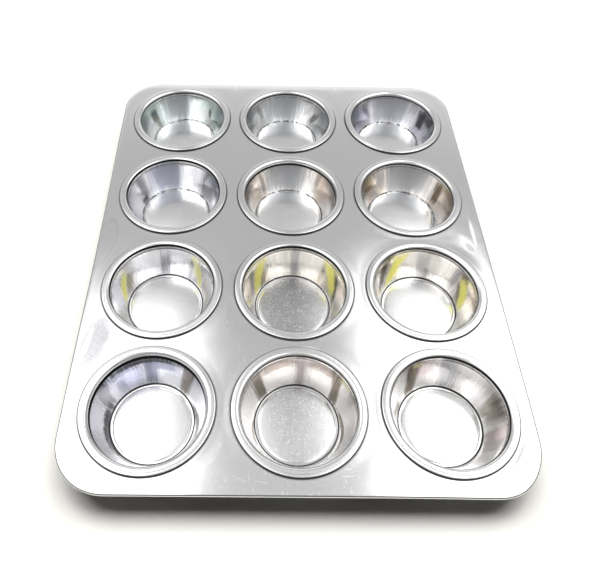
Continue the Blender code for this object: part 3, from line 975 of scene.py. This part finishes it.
def offset_corners(corners: Sequence[Corner], distance: float) -> list[Corner]:
    """Return corners moved to the right of the path by a distance, as a sheet's other face.

    Args:
        corners: The corners of one face.
        distance: The sheet's thickness.

    Returns:
        The corners of the other face, in the same order.
    """
    sides = []
    for first, second in zip(corners, corners[1:]):
        along = (second.point - first.point).normalized()
        sides.append(Vector((along.y, -along.x)))
    moved = []
    for index, corner in enumerate(corners):
        before = sides[max(index - 1, 0)]
        after = sides[min(index, len(sides) - 1)]
        mitre = (before + after) / (1.0 + before.dot(after))
        bend = before.cross(after)
        rounding = corner.rounding + (distance if bend > 0 else -distance)
        rounding = max(rounding, 0.1 * MM) if corner.rounding > 0 else 0.0
        point = corner.point + distance * mitre
        moved.append(Corner(point.x, point.y, rounding))
    return moved


def divided(path: Sequence[Point], longest: float) -> list[Point]:
    """Return a path whose steps are all shorter than a length.

    Args:
        path: The path's points.
        longest: The longest step.

    Returns:
        The path with more points.
    """
    points = [path[0]]
    for first, second in zip(path, path[1:]):
        count = max(1, math.ceil(math.dist(first, second) / longest))
        for step in range(1, count + 1):
            share = step / count
            points.append(tuple(a + (b - a) * share for a, b in zip(first, second)))
    return points


def new_object(name: str, mesh: bpy.types.Mesh) -> bpy.types.Object:
    """Link a new object to the scene.

    Args:
        name: Its name.
        mesh: Its mesh.

    Returns:
        The object.
    """
    obj = bpy.data.objects.new(name, mesh)
    bpy.context.scene.collection.objects.link(obj)
    return obj


def path_mesh(name: str, points: Iterable[Sequence[float]], closed: bool = False) -> bpy.types.Mesh:
    """Return a mesh of edges through points.

    Args:
        name: The mesh's name.
        points: The points, in three dimensions.
        closed: Whether the last point joins the first.

    Returns:
        The mesh.
    """
    places = [tuple(point) for point in points]
    edges = [(index, index + 1) for index in range(len(places) - 1)]
    if closed:
        edges.append((len(places) - 1, 0))
    mesh = bpy.data.meshes.new(name)
    mesh.from_pydata(places, edges, [])
    return mesh


class NodeTool:
    """A Geometry Nodes tree with named inputs, and a way to run it once on an object."""

    def __init__(self, name: str, inputs: Mapping[str, str]) -> None:
        """Make the tree with its inputs.

        Args:
            name: The tree's name.
            inputs: Each input's kind, such as Float, Int, Vector or Material, by its name.
        """
        self.tree = bpy.data.node_groups.new(name, "GeometryNodeTree")
        interface = self.tree.interface
        for way in ("INPUT", "OUTPUT"):
            interface.new_socket("Geometry", in_out=way, socket_type="NodeSocketGeometry")
        self.identifiers: dict[str, str] = {}
        for key, kind in inputs.items():
            socket = interface.new_socket(key, in_out="INPUT", socket_type=f"NodeSocket{kind}")
            self.identifiers[key] = socket.identifier
        self.net = Net(self.tree)
        self.group_input = self.net.node("NodeGroupInput")

    def input(self, name: str) -> Signal:
        """Return a named input."""
        return Signal(self.net, self.group_input.outputs[name])

    def end(self, geometry: Signal) -> None:
        """End the tree in smooth, real geometry with its material.

        Args:
            geometry: What the tree has built.
        """
        smooth = self.net.geometry("SetShadeSmooth", {"Geometry": geometry})
        real = self.net.geometry("RealizeInstances", {0: smooth})
        dressed = self.net.geometry("SetMaterial", {"Geometry": real, "Material": self.input("Finish")})
        self.net.node("NodeGroupOutput", None, {"Geometry": dressed})

    def run(self, name: str, mesh: bpy.types.Mesh, values: Mapping[str, Any]) -> bpy.types.Object:
        """Run the tree on a mesh.

        Args:
            name: The name of the object to make.
            mesh: The mesh that goes in.
            values: The inputs by name.

        Returns:
            A new object with a plain mesh and no modifier.
        """
        obj = new_object(name, mesh)
        modifier = obj.modifiers.new("nodes", "NODES")
        modifier.node_group = self.tree
        for key, value in values.items():
            modifier[self.identifiers[key]] = value
        bpy.context.view_layer.update()
        graph = bpy.context.evaluated_depsgraph_get()
        made = bpy.data.meshes.new_from_object(obj.evaluated_get(graph))
        made.name = name
        obj.modifiers.remove(modifier)
        obj.data = made
        bpy.data.meshes.remove(mesh)
        return obj


class TurnedShell(NodeTool):
    """Turns a section round a vertical axis into a closed shell, slightly uneven as drawn sheet is."""

    weld: float = 0.002 * MM
    fade_length: float = 4 * MM
    wave_mean: float = 0.625

    def __init__(self) -> None:
        """Build the tree."""
        numbers = {name: "Float" for name in ("Waver", "Waver Top", "Waver Foot", "Seed")}
        inputs = {"Steps": "Int", "Centre": "Vector", **numbers, "Finish": "Material"}
        super().__init__("turned_shell", inputs)
        net = self.net
        section = self.input("Geometry")
        steps = self.input("Steps")
        count = net.geometry("AttributeDomainSize", {0: section}, "Point Count", {"component": "MESH"})
        grid = net.geometry("MeshGrid", {"Vertices X": steps + 1.0, "Vertices Y": count}, "Mesh")
        index = net.geometry("InputIndex")
        column = net.math("FLOOR", (index + 0.5) / count)
        along = index - column * count
        sampling = {"Geometry": section, "Value": net.geometry("InputPosition"), "Index": along}
        sampled = net.geometry("SampleIndex", sampling, settings={"data_type": "FLOAT_VECTOR"})
        across, _, height = net.parts(sampled)
        angle = column / steps * (2 * math.pi)
        side_x = net.math("COSINE", angle)
        side_y = net.math("SINE", angle)
        reach = across + self.unevenness(side_x, side_y, height)
        turned = net.vector(reach * side_x, reach * side_y, height)
        placed = net.vector_math("ADD", turned, self.input("Centre"))
        moved = net.geometry("SetPosition", {"Geometry": grid, "Position": placed})
        merged = net.geometry("MergeByDistance", {"Geometry": moved, "Distance": self.weld})
        self.end(net.geometry("FlipFaces", {"Mesh": merged}))

    def unevenness(self, side_x: Signal, side_y: Signal, height: Signal) -> Signal:
        """Return how far the wall departs from true, none at the ring and the foot.

        Args:
            side_x: The direction's cosine.
            side_y: The direction's sine.
            height: The height, in metres.

        Returns:
            How far it lies outwards, in metres.
        """
        net = self.net
        seed = self.input("Seed")
        broad = net.noise(net.vector(1.6 * side_x, 1.6 * side_y, height * 9.0), 1.0, 1.0, seed)
        finer = net.noise(net.vector(5.0 * side_x, 5.0 * side_y, height * 60.0), 1.0, 1.0, seed)
        wave = broad + 0.25 * finer - self.wave_mean
        below = (self.input("Waver Top") - height) / self.fade_length
        above = (height - self.input("Waver Foot")) / self.fade_length
        share = net.step(net.math("MINIMUM", below, above), 0.0, 1.0)
        return wave * self.input("Waver") * share * 2.0


class SweptHoop(NodeTool):
    """Sweeps a round wire along a rounded rectangle."""

    arc_points: int = 16

    def __init__(self) -> None:
        """Build the tree."""
        numbers = {name: "Float" for name in ("Length X", "Length Y", "Corner", "Radius", "Height")}
        super().__init__("swept_hoop", {**numbers, "Finish": "Material"})
        net = self.net
        lengths = {"Width": self.input("Length X"), "Height": self.input("Length Y")}
        outline = net.geometry("CurvePrimitiveQuadrilateral", lengths)
        fillet = {"Count": self.arc_points, "Radius": self.input("Corner"), "Limit Radius": True}
        rounded = net.geometry("FilletCurve", {"Curve": outline, **fillet}, settings={"mode": "POLY"})
        wire = {"Resolution": self.arc_points, "Radius": self.input("Radius")}
        circle = net.geometry("CurvePrimitiveCircle", wire)
        swept = net.geometry("CurveToMesh", {"Curve": rounded, "Profile Curve": circle})
        lift = net.vector(0.0, 0.0, self.input("Height"))
        self.end(net.geometry("Transform", {"Geometry": swept, "Translation": lift}))


@dataclass
class PanFrame:
    """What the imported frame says: where each cup is, and how large the deck is."""

    centres: dict[str, Vector] = field(default_factory=dict)
    ring_radius: float = 0.0
    deck_half_x: float = 0.0
    deck_half_y: float = 0.0
    deck_top: float = 0.0

    @classmethod
    def read(cls, nodes: Iterable[str]) -> "PanFrame":
        """Return the sizes read from the nodes' boxes.

        Args:
            nodes: The names of the frame's nodes.

        Returns:
            The sizes.
        """
        made = cls()
        for name in sorted(nodes):
            if name.startswith("cup_"):
                low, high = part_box(name)
                middle = (low + high) / 2
                made.centres[name] = Vector((middle.x, middle.y, 0.0))
                made.ring_radius = (high.x - low.x) / 2
        low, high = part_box("deck_sheet")
        made.deck_half_x = high.x
        made.deck_half_y = high.y
        made.deck_top = high.z
        return made


@dataclass
class Cup:
    """One drawn cup: floor panel, foot, tapered wall, lock bead, neck, ring and lip."""

    name: str
    centre: Vector
    deck_top: float
    ring_radius: float
    look: CupLook
    seed: float = 0.0
    wall: float = 0.5 * MM
    ring_rise: float = 1.8 * MM
    ring_fall: float = 0.3 * MM
    ring_width: float = RING_WIDTH
    fold: float = 2.5 * MM
    lip_flare: float = 0.9 * MM
    lip_gap: float = 0.3 * MM
    lip_rounding: float = 0.9 * MM
    mouth_rounding: float = 2.3 * MM
    neck_foot: float = -0.9 * MM
    bead_bulge: float = 0.55 * MM
    bead_height: float = -1.6 * MM
    wall_inset: float = 0.2 * MM
    wall_top: float = -2.7 * MM
    foot_radius: float = 25.5 * MM
    foot_width: float = 1.6 * MM
    panel_rise: float = 0.3 * MM
    dome: float = 0.6 * MM
    dome_steps: int = 12
    panel_edge: float = 0.5 * MM
    panel_rounding: float = 0.6 * MM
    crease_rounding: float = 0.3 * MM
    foot_rounding: float = 0.9 * MM
    wall_rounding: float = 0.6 * MM
    bead_rounding: float = 0.4 * MM
    neck_rounding: float = 0.35 * MM
    fold_rounding: float = 0.15 * MM
    longest_step: float = 2.2 * MM
    waver: float = 0.16 * MM
    steps: int = 144
    arc_steps: int = 6

    @property
    def mouth_radius(self) -> float:
        """Return the neck's inner radius."""
        return self.ring_radius - self.ring_width

    @property
    def foot_height(self) -> float:
        """Return the height of the foot's inner face over the deck."""
        return self.wall - self.deck_top

    def inside(self) -> list[Corner]:
        """List the inner face's corners.

        Returns:
            The corners, from the middle of the floor to the lip.
        """
        mouth = self.mouth_radius
        foot = self.foot_height
        panel = foot + self.panel_rise
        panel_radius = self.foot_radius - self.foot_width
        folded = self.ring_radius - self.fold
        fallen = self.ring_rise - self.ring_fall
        return [
            *self.domed(panel, panel_radius - self.panel_edge),
            Corner(panel_radius, foot, self.crease_rounding),
            Corner(self.foot_radius, foot, self.foot_rounding),
            Corner(mouth - self.wall_inset, self.wall_top, self.wall_rounding),
            Corner(mouth + self.bead_bulge, self.bead_height, self.bead_rounding),
            Corner(mouth, self.neck_foot, self.neck_rounding),
            Corner(mouth, self.ring_rise, self.mouth_rounding),
            Corner(folded, self.ring_rise, self.fold_rounding),
            Corner(folded + self.ring_fall, fallen, self.fold_rounding),
            Corner(self.ring_radius - self.lip_flare, fallen, self.lip_rounding),
            Corner(self.ring_radius, self.lip_gap),
        ]

    def domed(self, height: float, radius: float) -> list[Corner]:
        """List the floor panel's corners, highest in the middle.

        Args:
            height: The panel's height at its edge.
            radius: Its radius.

        Returns:
            The corners, with a rounded one at the edge.
        """
        shares = [index / self.dome_steps for index in range(self.dome_steps)]
        middle = [Corner(radius * share, height + self.dome * (1.0 - share * share)) for share in shares]
        return [*middle, Corner(radius, height, self.panel_rounding)]

    def section(self) -> list[Point]:
        """Return the whole section of the sheet.

        Returns:
            Its points, out along the inner face and back.
        """
        inner = self.inside()
        outer = offset_corners(inner, self.wall)
        outer[-1] = Corner(self.ring_radius - self.wall, self.lip_gap)
        outer[0] = Corner(0.0, outer[0].height)
        first = rounded_path(inner, self.arc_steps)
        second = rounded_path(outer[::-1], self.arc_steps)
        return divided(first + second, self.longest_step)

    def build(self, tool: TurnedShell) -> bpy.types.Object:
        """Build and dress the cup.

        Args:
            tool: The tree that turns the section.

        Returns:
            The cup's object, riding on the frame.
        """
        centre = Vector((self.centre.x, self.centre.y, self.deck_top))
        finish = CupSteel(
            f"{self.name}_steel",
            tuple(centre),
            self.seed,
            self.look,
            self.ring_radius,
            self.mouth_radius,
            self.foot_radius,
            self.foot_height,
            self.wall_top,
        )
        section = path_mesh("section", ((across, 0.0, height) for across, height in self.section()))
        values = {
            "Steps": self.steps,
            "Centre": tuple(centre),
            "Waver": self.waver,
            "Waver Top": self.wall_top,
            "Waver Foot": self.foot_height,
            "Seed": self.seed,
            "Finish": finish.make(),
        }
        obj = tool.run(f"drawn_{self.name}", section, values)
        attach(obj, "root")
        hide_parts(self.name)
        LOG.info("%s: %d faces", obj.name, len(obj.data.polygons))
        return obj


@dataclass(frozen=True)
class Dent:
    """A shallow dent or swelling of the deck: its place, its size across and along, and its depth."""

    x: float
    y: float
    length: float
    width: float
    turn: float
    depth: float

    def height(self, x: float, y: float) -> float:
        """Return how the dent changes the sheet's height at a place.

        Args:
            x: The place across.
            y: The place along.

        Returns:
            The change, which is negative in a dent.
        """
        away = Vector((x - self.x, y - self.y))
        away.rotate(Matrix.Rotation(-self.turn, 2))
        return -self.depth * math.exp(-((away.x / self.length) ** 2) - (away.y / self.width) ** 2)


def eased(value: float, low: float, high: float) -> float:
    """Return a smooth step from 0 at the low value to 1 at the high one."""
    share = min(max((value - low) / (high - low), 0.0), 1.0)
    return share * share * (3 - 2 * share)


@dataclass(frozen=True)
class Bend:
    """How use has bent the pan's edge: drawn in at its sides, knocked down at one corner, low at the back.

    Each pair of sizes is where a bend starts and ends, across or along the pan.
    """

    left_waist: float = 0.7 * MM
    right_taper: float = 1.2 * MM
    corner_droop: float = 2.0 * MM
    back_fall: float = 0.25 * MM
    waist_along: Point = (10 * MM, 115 * MM)
    waist_across: Point = (129 * MM, 136 * MM)
    taper_along: Point = (-170 * MM, 70 * MM)
    taper_across: Point = (118 * MM, 136 * MM)
    droop_across: Point = (45 * MM, 135 * MM)
    droop_along: Point = (118 * MM, 175 * MM)
    fall_along: Point = (169 * MM, 176 * MM)

    def moved(self, point: Vector, clear: float) -> Vector:
        """Return where a point of the true edge lies.

        Args:
            point: The point, before the bending.
            clear: 0 under a cup's ring and 1 well away from it.

        Returns:
            The point's place.
        """
        x, y = point.x, point.y
        waist = self.left_waist * (1.0 - eased(abs(y), *self.waist_along)) * eased(-x, *self.waist_across)
        taper = self.right_taper * (1.0 - eased(y, *self.taper_along)) * eased(x, *self.taper_across)
        droop = self.corner_droop * eased(x, *self.droop_across) * eased(-y, *self.droop_along)
        fall = self.back_fall * eased(y, *self.fall_along)
        return point + Vector((waist - taper, 0.0, -clear * (droop + fall)))


@dataclass
class Deck:
    """The deck sheet: flat round the cups, gently uneven between them, its edge rolled round a wire."""

    frame: PanFrame
    sheet: float = 0.6 * MM
    hole_clearance: float = 0.8 * MM
    hole_margin: float = 1 * MM
    ring_width: float = RING_WIDTH
    corner_radius: float = 31.5 * MM
    roll_radius: float = 1.2 * MM
    roll_turn: float = math.radians(270)
    roll_steps: int = 15
    edge_points: int = 28
    cell_rings: int = 10
    wave: float = 0.05 * MM
    wave_length: float = 55 * MM
    dish: float = 0.12 * MM
    dish_width: float = 4 * MM
    seat_edge: Point = (0.5 * MM, 6 * MM)
    weld: float = 0.01 * MM
    bend: Bend = Bend()
    dents: tuple[Dent, ...] = (
        Dent(-124 * MM, -79 * MM, 16 * MM, 7 * MM, math.radians(75), 0.16 * MM),
        Dent(-128 * MM, 3 * MM, 18 * MM, 6 * MM, math.radians(80), 0.10 * MM),
        Dent(121 * MM, -7 * MM, 14 * MM, 6 * MM, math.radians(-65), 0.20 * MM),
        Dent(129 * MM, 9 * MM, 22 * MM, 4 * MM, math.radians(-85), 0.12 * MM),
    )

    @property
    def hole_radius(self) -> float:
        """Return the holes' radius."""
        return self.frame.ring_radius - self.ring_width + self.hole_clearance

    def flat_half(self) -> Point:
        """Return half of the flat part's width and length."""
        return self.frame.deck_half_x - self.roll_radius, self.frame.deck_half_y - self.roll_radius

    def cell_lines(self, values: Iterable[float], limit: float) -> list[float]:
        """Return the lines between the cups and at the edges, along one axis.

        Args:
            values: The cups' centres along the axis.
            limit: Half of the deck's flat part.

        Returns:
            The lines, from low to high.
        """
        places = sorted({round(value, 6) for value in values})
        middles = [(first + second) / 2 for first, second in zip(places, places[1:])]
        return [-limit, *middles, limit]

    def rim_point(self, centre: Vector, towards: Point, cell: Cell) -> Vector:
        """Return where a ray from a cup's centre leaves its cell.

        Args:
            centre: The cup's centre.
            towards: The ray's direction.
            cell: The cell's low and high X, and low and high Y.

        Returns:
            The point on the cell's edge, or on the deck's rounded corner.
        """
        low_x, high_x, low_y, high_y = cell
        reaches = [
            ((high if step > 0 else low) - start) / step
            for start, step, low, high in zip(centre.xy, towards, (low_x, low_y), (high_x, high_y))
            if step
        ]
        point = centre + min(reaches) * Vector((*towards, 0.0))
        radius = self.corner_radius - self.roll_radius
        halves = zip(self.flat_half(), point.xy)
        pivot = Vector((*(math.copysign(half - radius, side) for half, side in halves), 0.0))
        if abs(point.x) <= abs(pivot.x) or abs(point.y) <= abs(pivot.y):
            return point
        if (point - pivot).length <= radius:
            return point
        along = Vector((*towards, 0.0)).normalized()
        away = centre - pivot
        middle = away.dot(along)
        reach = -middle + math.sqrt(middle * middle - away.length_squared + radius * radius)
        return centre + reach * along

    def cell_directions(self, centre: Vector, cell: Cell) -> list[Point]:
        """Return directions round a cup that pass through its cell's corners.

        Args:
            centre: The cup's centre.
            cell: The cell's low and high X, and low and high Y.

        Returns:
            The directions, once round.
        """
        low_x, high_x, low_y, high_y = cell
        corners = ((high_x, low_y), (high_x, high_y), (low_x, high_y), (low_x, low_y))
        angles = [math.atan2(y - centre.y, x - centre.x) for x, y in corners]
        directions = []
        for start, end in zip(angles, angles[1:] + angles[:1]):
            sweep = (end - start) % (2 * math.pi)
            for step in range(self.edge_points):
                angle = start + sweep * step / self.edge_points
                directions.append((math.cos(angle), math.sin(angle)))
        return directions

    def add_cell(self, bm: bmesh.types.BMesh, centre: Vector, cell: Cell) -> None:
        """Add the sheet round one cup, from its hole to the edge of its cell.

        Args:
            bm: The deck's mesh.
            centre: The cup's centre.
            cell: The cell that the sheet fills.
        """
        rings = []
        for share in (index / self.cell_rings for index in range(self.cell_rings + 1)):
            ring = []
            for towards in self.cell_directions(centre, cell):
                outer = self.rim_point(centre, towards, cell)
                inner = centre + self.hole_radius * Vector((*towards, 0.0))
                ring.append(bm.verts.new(inner.lerp(outer, share)))
            rings.append(ring)
        for inner, outer in zip(rings, rings[1:]):
            count = len(inner)
            for index in range(count):
                after = (index + 1) % count
                bm.faces.new((inner[index], outer[index], outer[after], inner[after]))

    def roll_edge(self, bm: bmesh.types.BMesh) -> None:
        """Roll the outer edge outwards, down and back under the deck, and keep each point's angle.

        Args:
            bm: The deck's mesh, still flat.
        """
        turned = bm.verts.layers.float.new("roll_angle")
        half_x, half_y = self.flat_half()
        radius = self.corner_radius - self.roll_radius
        core = Vector((half_x - radius, half_y - radius))

        def outward(point: Vector) -> Vector:
            """Return the outline's outward normal at a point.

            Args:
                point: The point.

            Returns:
                The normal, one long.
            """
            nearest = Vector((min(max(point.x, -core.x), core.x), min(max(point.y, -core.y), core.y), 0.0))
            away = Vector((point.x, point.y, 0.0)) - nearest
            return away.normalized()

        hole_reach = self.hole_radius + self.hole_margin
        centres = self.frame.centres.values()

        def is_outer(vert: bmesh.types.BMVert) -> bool:
            """Return whether a vertex is on the deck's edge and not on a hole's."""
            flat = Vector((vert.co.x, vert.co.y, 0.0))
            return all((flat - centre).length > hole_reach for centre in centres)

        edges = [edge for edge in bm.edges if edge.is_boundary and all(is_outer(v) for v in edge.verts)]
        origin = {vert: vert.co.copy() for edge in edges for vert in edge.verts}
        for step in range(1, self.roll_steps + 1):
            angle = self.roll_turn * step / self.roll_steps
            start_of = {tuple(vert.co): origin[vert] for edge in edges for vert in edge.verts}
            made = bmesh.ops.extrude_edge_only(bm, edges=edges)["geom"]
            edges = [item for item in made if isinstance(item, bmesh.types.BMEdge)]
            for vert in (item for item in made if isinstance(item, bmesh.types.BMVert)):
                start = start_of[tuple(vert.co)]
                origin[vert] = start
                vert[turned] = math.degrees(angle)
                across = self.roll_radius * math.sin(angle)
                drop = self.roll_radius * (1.0 - math.cos(angle))
                vert.co = start + across * outward(start) - Vector((0.0, 0.0, drop))

    def settled(self, point: Vector) -> Vector:
        """Return where a point of the true sheet lies after wear, level under the cups' rings.

        Args:
            point: The point, before the wear.

        Returns:
            Its place.
        """
        flat = Vector((point.x, point.y, 0.0))
        nearest = min((flat - centre).length for centre in self.frame.centres.values())
        beyond = nearest - self.frame.ring_radius
        clear = eased(beyond, *self.seat_edge)
        wave = self.wave * noise.noise(Vector((point.x, point.y, 0.3)) / self.wave_length)
        wave -= self.dish * math.exp(-max(beyond, 0.0) / self.dish_width)
        wave += sum(dent.height(point.x, point.y) for dent in self.dents)
        moved = self.bend.moved(point, clear)
        moved.z += self.frame.deck_top + clear * wave
        return moved

    def build(self) -> bpy.types.Object:
        """Build and dress the deck.

        Returns:
            The deck's object, riding on the frame.
        """
        half_x, half_y = self.flat_half()
        centres = list(self.frame.centres.values())
        lines_x = self.cell_lines((centre.x for centre in centres), half_x)
        lines_y = self.cell_lines((centre.y for centre in centres), half_y)
        bm = bmesh.new()
        for centre in centres:
            column = sum(line < centre.x for line in lines_x[1:-1])
            row = sum(line < centre.y for line in lines_y[1:-1])
            cell = (lines_x[column], lines_x[column + 1], lines_y[row], lines_y[row + 1])
            self.add_cell(bm, centre, cell)
        bmesh.ops.remove_doubles(bm, verts=bm.verts, dist=self.weld)
        self.roll_edge(bm)
        bmesh.ops.recalc_face_normals(bm, faces=bm.faces)
        if max(bm.faces, key=lambda face: face.calc_center_median().z).normal.z < 0:
            bmesh.ops.reverse_faces(bm, faces=bm.faces)
        for vert in bm.verts:
            vert.co = self.settled(vert.co)
        mesh = bpy.data.meshes.new("rolled_deck")
        bm.to_mesh(mesh)
        bm.free()
        mesh.shade_smooth()
        obj = new_object("rolled_deck_sheet", mesh)
        mesh.materials.append(DeckSteel(self.frame.ring_radius).make())
        thickness = obj.modifiers.new("sheet", "SOLIDIFY")
        thickness.thickness = self.sheet
        thickness.offset = -1.0
        thickness.use_even_offset = True
        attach(obj, "root")
        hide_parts("deck_sheet")
        LOG.info("%s: %d faces before its thickness", obj.name, len(mesh.polygons))
        return obj


@dataclass
class RimWire:
    """The wire hoop inside the deck's rolled edge, bent as the edge is."""

    deck: Deck
    radius: float = 0.5 * MM

    def build(self, tool: SweptHoop) -> bpy.types.Object:
        """Build and dress the wire.

        Args:
            tool: The tree that sweeps the wire.

        Returns:
            The wire's object, riding on the frame.
        """
        half_x, half_y = self.deck.flat_half()
        seed_mesh = path_mesh("start", ((0.0, 0.0, 0.0),))
        values = {
            "Length X": 2 * half_x,
            "Length Y": 2 * half_y,
            "Corner": self.deck.corner_radius - self.deck.roll_radius,
            "Radius": self.radius,
            "Height": -self.deck.roll_radius,
            "Finish": WireSteel().make(),
        }
        obj = tool.run("rim_wire_hoop", seed_mesh, values)
        for vert in obj.data.vertices:
            vert.co = self.deck.settled(vert.co)
        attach(obj, "root")
        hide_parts("rim_wire")
        LOG.info("%s: %d faces", obj.name, len(obj.data.polygons))
        return obj


@dataclass(frozen=True)
class Window:
    """A bright patch of the sky that the flat steel mirrors, in slopes from the zenith with soft sides.

    Each pair is where the patch fades in or out: outwards from the pan's middle, and from front to back.
    """

    side: int
    inner: Point
    near: Point
    far: Point
    outer: Point = (0.8, 1.1)

    def mask(self, net: Net, across: Signal, along: Signal) -> Signal:
        """Return 1 inside the patch and 0 outside it."""
        sides = net.between(across * self.side, self.inner, self.outer)
        return sides * net.between(along, self.near, self.far)


@dataclass
class Studio:
    """A white floor, a soft sky with two bright windows, three soft lights that don't show, and a camera.

    The sky's levels fade over the pairs, which are parts of a unit direction's across, along and up.
    """

    floor_size: float = 8.0
    floor_drop: float = 0.05 * MM
    front: float = 0.22
    front_colour: Colour = (1.0, 0.95, 0.87)
    overhead: float = 0.62
    zenith_lift: float = 0.15
    side_lift: float = 0.40
    back_lift: float = 0.60
    window_lift: float = 2.20
    viewer_along: Point = (0.05, 0.75)
    viewer_up: Point = (0.18, 0.42)
    sides_across: Point = (0.35, 0.80)
    sides_up: Point = (0.20, 0.55)
    back_along: Point = (0.1, 0.5)
    back_up: Point = (0.50, 0.67)
    back_across: Point = (0.30, 0.48)
    zenith_up: Point = (0.85, 0.97)
    horizon: float = 0.05
    windows: tuple[Window, ...] = (
        Window(-1, (0.080, 0.120), (-0.6, -0.4), (0.50, 0.76)),
        Window(1, (0.190, 0.230), (-0.6, -0.4), (0.67, 0.79)),
    )
    key_strength: float = 2.0
    key_softness: float = math.radians(32)
    key_tilt: float = math.radians(22.5)
    key_spread: float = math.radians(40)
    key_colour: Colour = (1.0, 0.985, 0.94)
    fill_strength: float = 0.025
    fill_colour: Colour = (1.0, 0.86, 0.52)
    camera_place: tuple[float, float, float] = (-27.7 * MM, -267.9 * MM, 356.4 * MM)
    camera_heading: float = 0.0154
    camera_dip: float = 0.9157
    camera_roll: float = 0.0235
    lens: float = 36.19
    sensor: float = 36.0
    nearest: float = 10 * MM
    shift: Point = (0.0688, -0.0656)

    def build(self) -> None:
        """Build the floor, the sky, the lights and the camera."""
        bpy.context.scene.view_settings.view_transform = "Standard"
        self.lay_floor()
        self.paint_sky()
        for name, side in (("left_key", -1), ("right_key", 1)):
            self.hang_sun(name, self.key_strength, self.key_colour, side * self.key_spread)
        self.hang_sun("front_fill", self.fill_strength, self.fill_colour, math.pi)
        self.set_camera()

    def lay_floor(self) -> None:
        """Lay the white floor just under the pan."""
        half = self.floor_size / 2
        corners = [(-half, -half), (half, -half), (half, half), (-half, half)]
        mesh = bpy.data.meshes.new("studio_floor")
        mesh.from_pydata([(x, y, -self.floor_drop) for x, y in corners], [], [(0, 1, 2, 3)])
        mesh.materials.append(StudioPaper().make())
        new_object("studio_floor", mesh)

    def paint_sky(self) -> None:
        """Paint the sky: bright to both sides, darker on the viewer's side and white along the back."""
        world = bpy.data.worlds.new("studio_sky")
        bpy.context.scene.world = world
        world.use_nodes = True
        world.node_tree.nodes.clear()
        world.cycles_visibility.diffuse = False
        net = Net(world.node_tree)
        across, along, up = net.parts(net.signal("ShaderNodeTexCoord", output="Generated"))
        rising = net.largest(up, self.horizon)
        viewer = net.step(0.0 - along, *self.viewer_along) * net.fades(up, self.viewer_up)
        sides = net.step(abs(across), *self.sides_across) * net.step(up, *self.sides_up)
        backdrop = net.step(along, *self.back_along) * net.fades(up, self.back_up)
        backdrop = backdrop * net.fades(abs(across), self.back_across)
        level = self.overhead + self.side_lift * sides + self.back_lift * backdrop
        level = level + self.zenith_lift * net.step(up, *self.zenith_up)
        level = level - (self.overhead - self.front) * viewer
        for window in self.windows:
            level = level + self.window_lift * window.mask(net, across / rising, along / rising)
        colour = net.blend(viewer, (1.0, 1.0, 1.0), self.front_colour)
        background = net.signal("ShaderNodeBackground", None, {"Color": colour, "Strength": level})
        net.node("ShaderNodeOutputWorld", None, {"Surface": background})

    def hang_sun(self, name: str, strength: float, colour: Colour, heading: float) -> None:
        """Hang a soft light that whitens the floor and that the steel doesn't mirror.

        Args:
            name: The light's name.
            strength: Its strength.
            colour: Its colour.
            heading: Where it stands, turned from the back of the pan.
        """
        light = bpy.data.lights.new(name, "SUN")
        light.energy = strength
        light.color = colour
        light.angle = self.key_softness
        obj = bpy.data.objects.new(name, light)
        obj.rotation_euler = (-self.key_tilt, 0.0, heading)
        obj.location = (0.0, 0.0, 1.0)
        obj.visible_glossy = False
        bpy.context.scene.collection.objects.link(obj)

    def set_camera(self) -> None:
        """Set the camera at the photograph's viewing angle."""
        data = bpy.data.cameras.new("photo_camera")
        data.sensor_width = self.sensor
        data.lens = self.lens
        data.shift_x, data.shift_y = self.shift
        data.clip_start = self.nearest
        obj = bpy.data.objects.new("photo_camera", data)
        dip = math.cos(self.camera_dip)
        ahead = Vector((math.sin(self.camera_heading) * dip, math.cos(self.camera_heading) * dip, 0.0))
        ahead.z = -math.sin(self.camera_dip)
        right = ahead.cross(Vector((0.0, 0.0, 1.0))).normalized()
        up = right.cross(ahead)
        turned = right * math.cos(self.camera_roll) + up * math.sin(self.camera_roll)
        raised = up * math.cos(self.camera_roll) - right * math.sin(self.camera_roll)
        axes = Matrix((turned, raised, -ahead)).transposed()
        obj.matrix_world = Matrix.Translation(self.camera_place) @ axes.to_4x4()
        bpy.context.scene.collection.objects.link(obj)
        bpy.context.scene.camera = obj


def main() -> None:
    """Build the pan's pieces and the studio."""
    logging.basicConfig(level=logging.INFO, format="%(message)s")
    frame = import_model()
    sizes = PanFrame.read(frame["nodes"])
    turned_shell = TurnedShell()
    for number, (name, centre) in enumerate(sizes.centres.items()):
        seed = FIRST_SEED + SEED_STEP * number
        Cup(name, centre, sizes.deck_top, sizes.ring_radius, CUP_STAINS_AND_PAINTED_LIGHT[name], seed).build(turned_shell)
    deck = Deck(sizes)
    deck.build()
    RimWire(deck).build(SweptHoop())
    Studio().build()


if __name__ == "__main__":
    main()
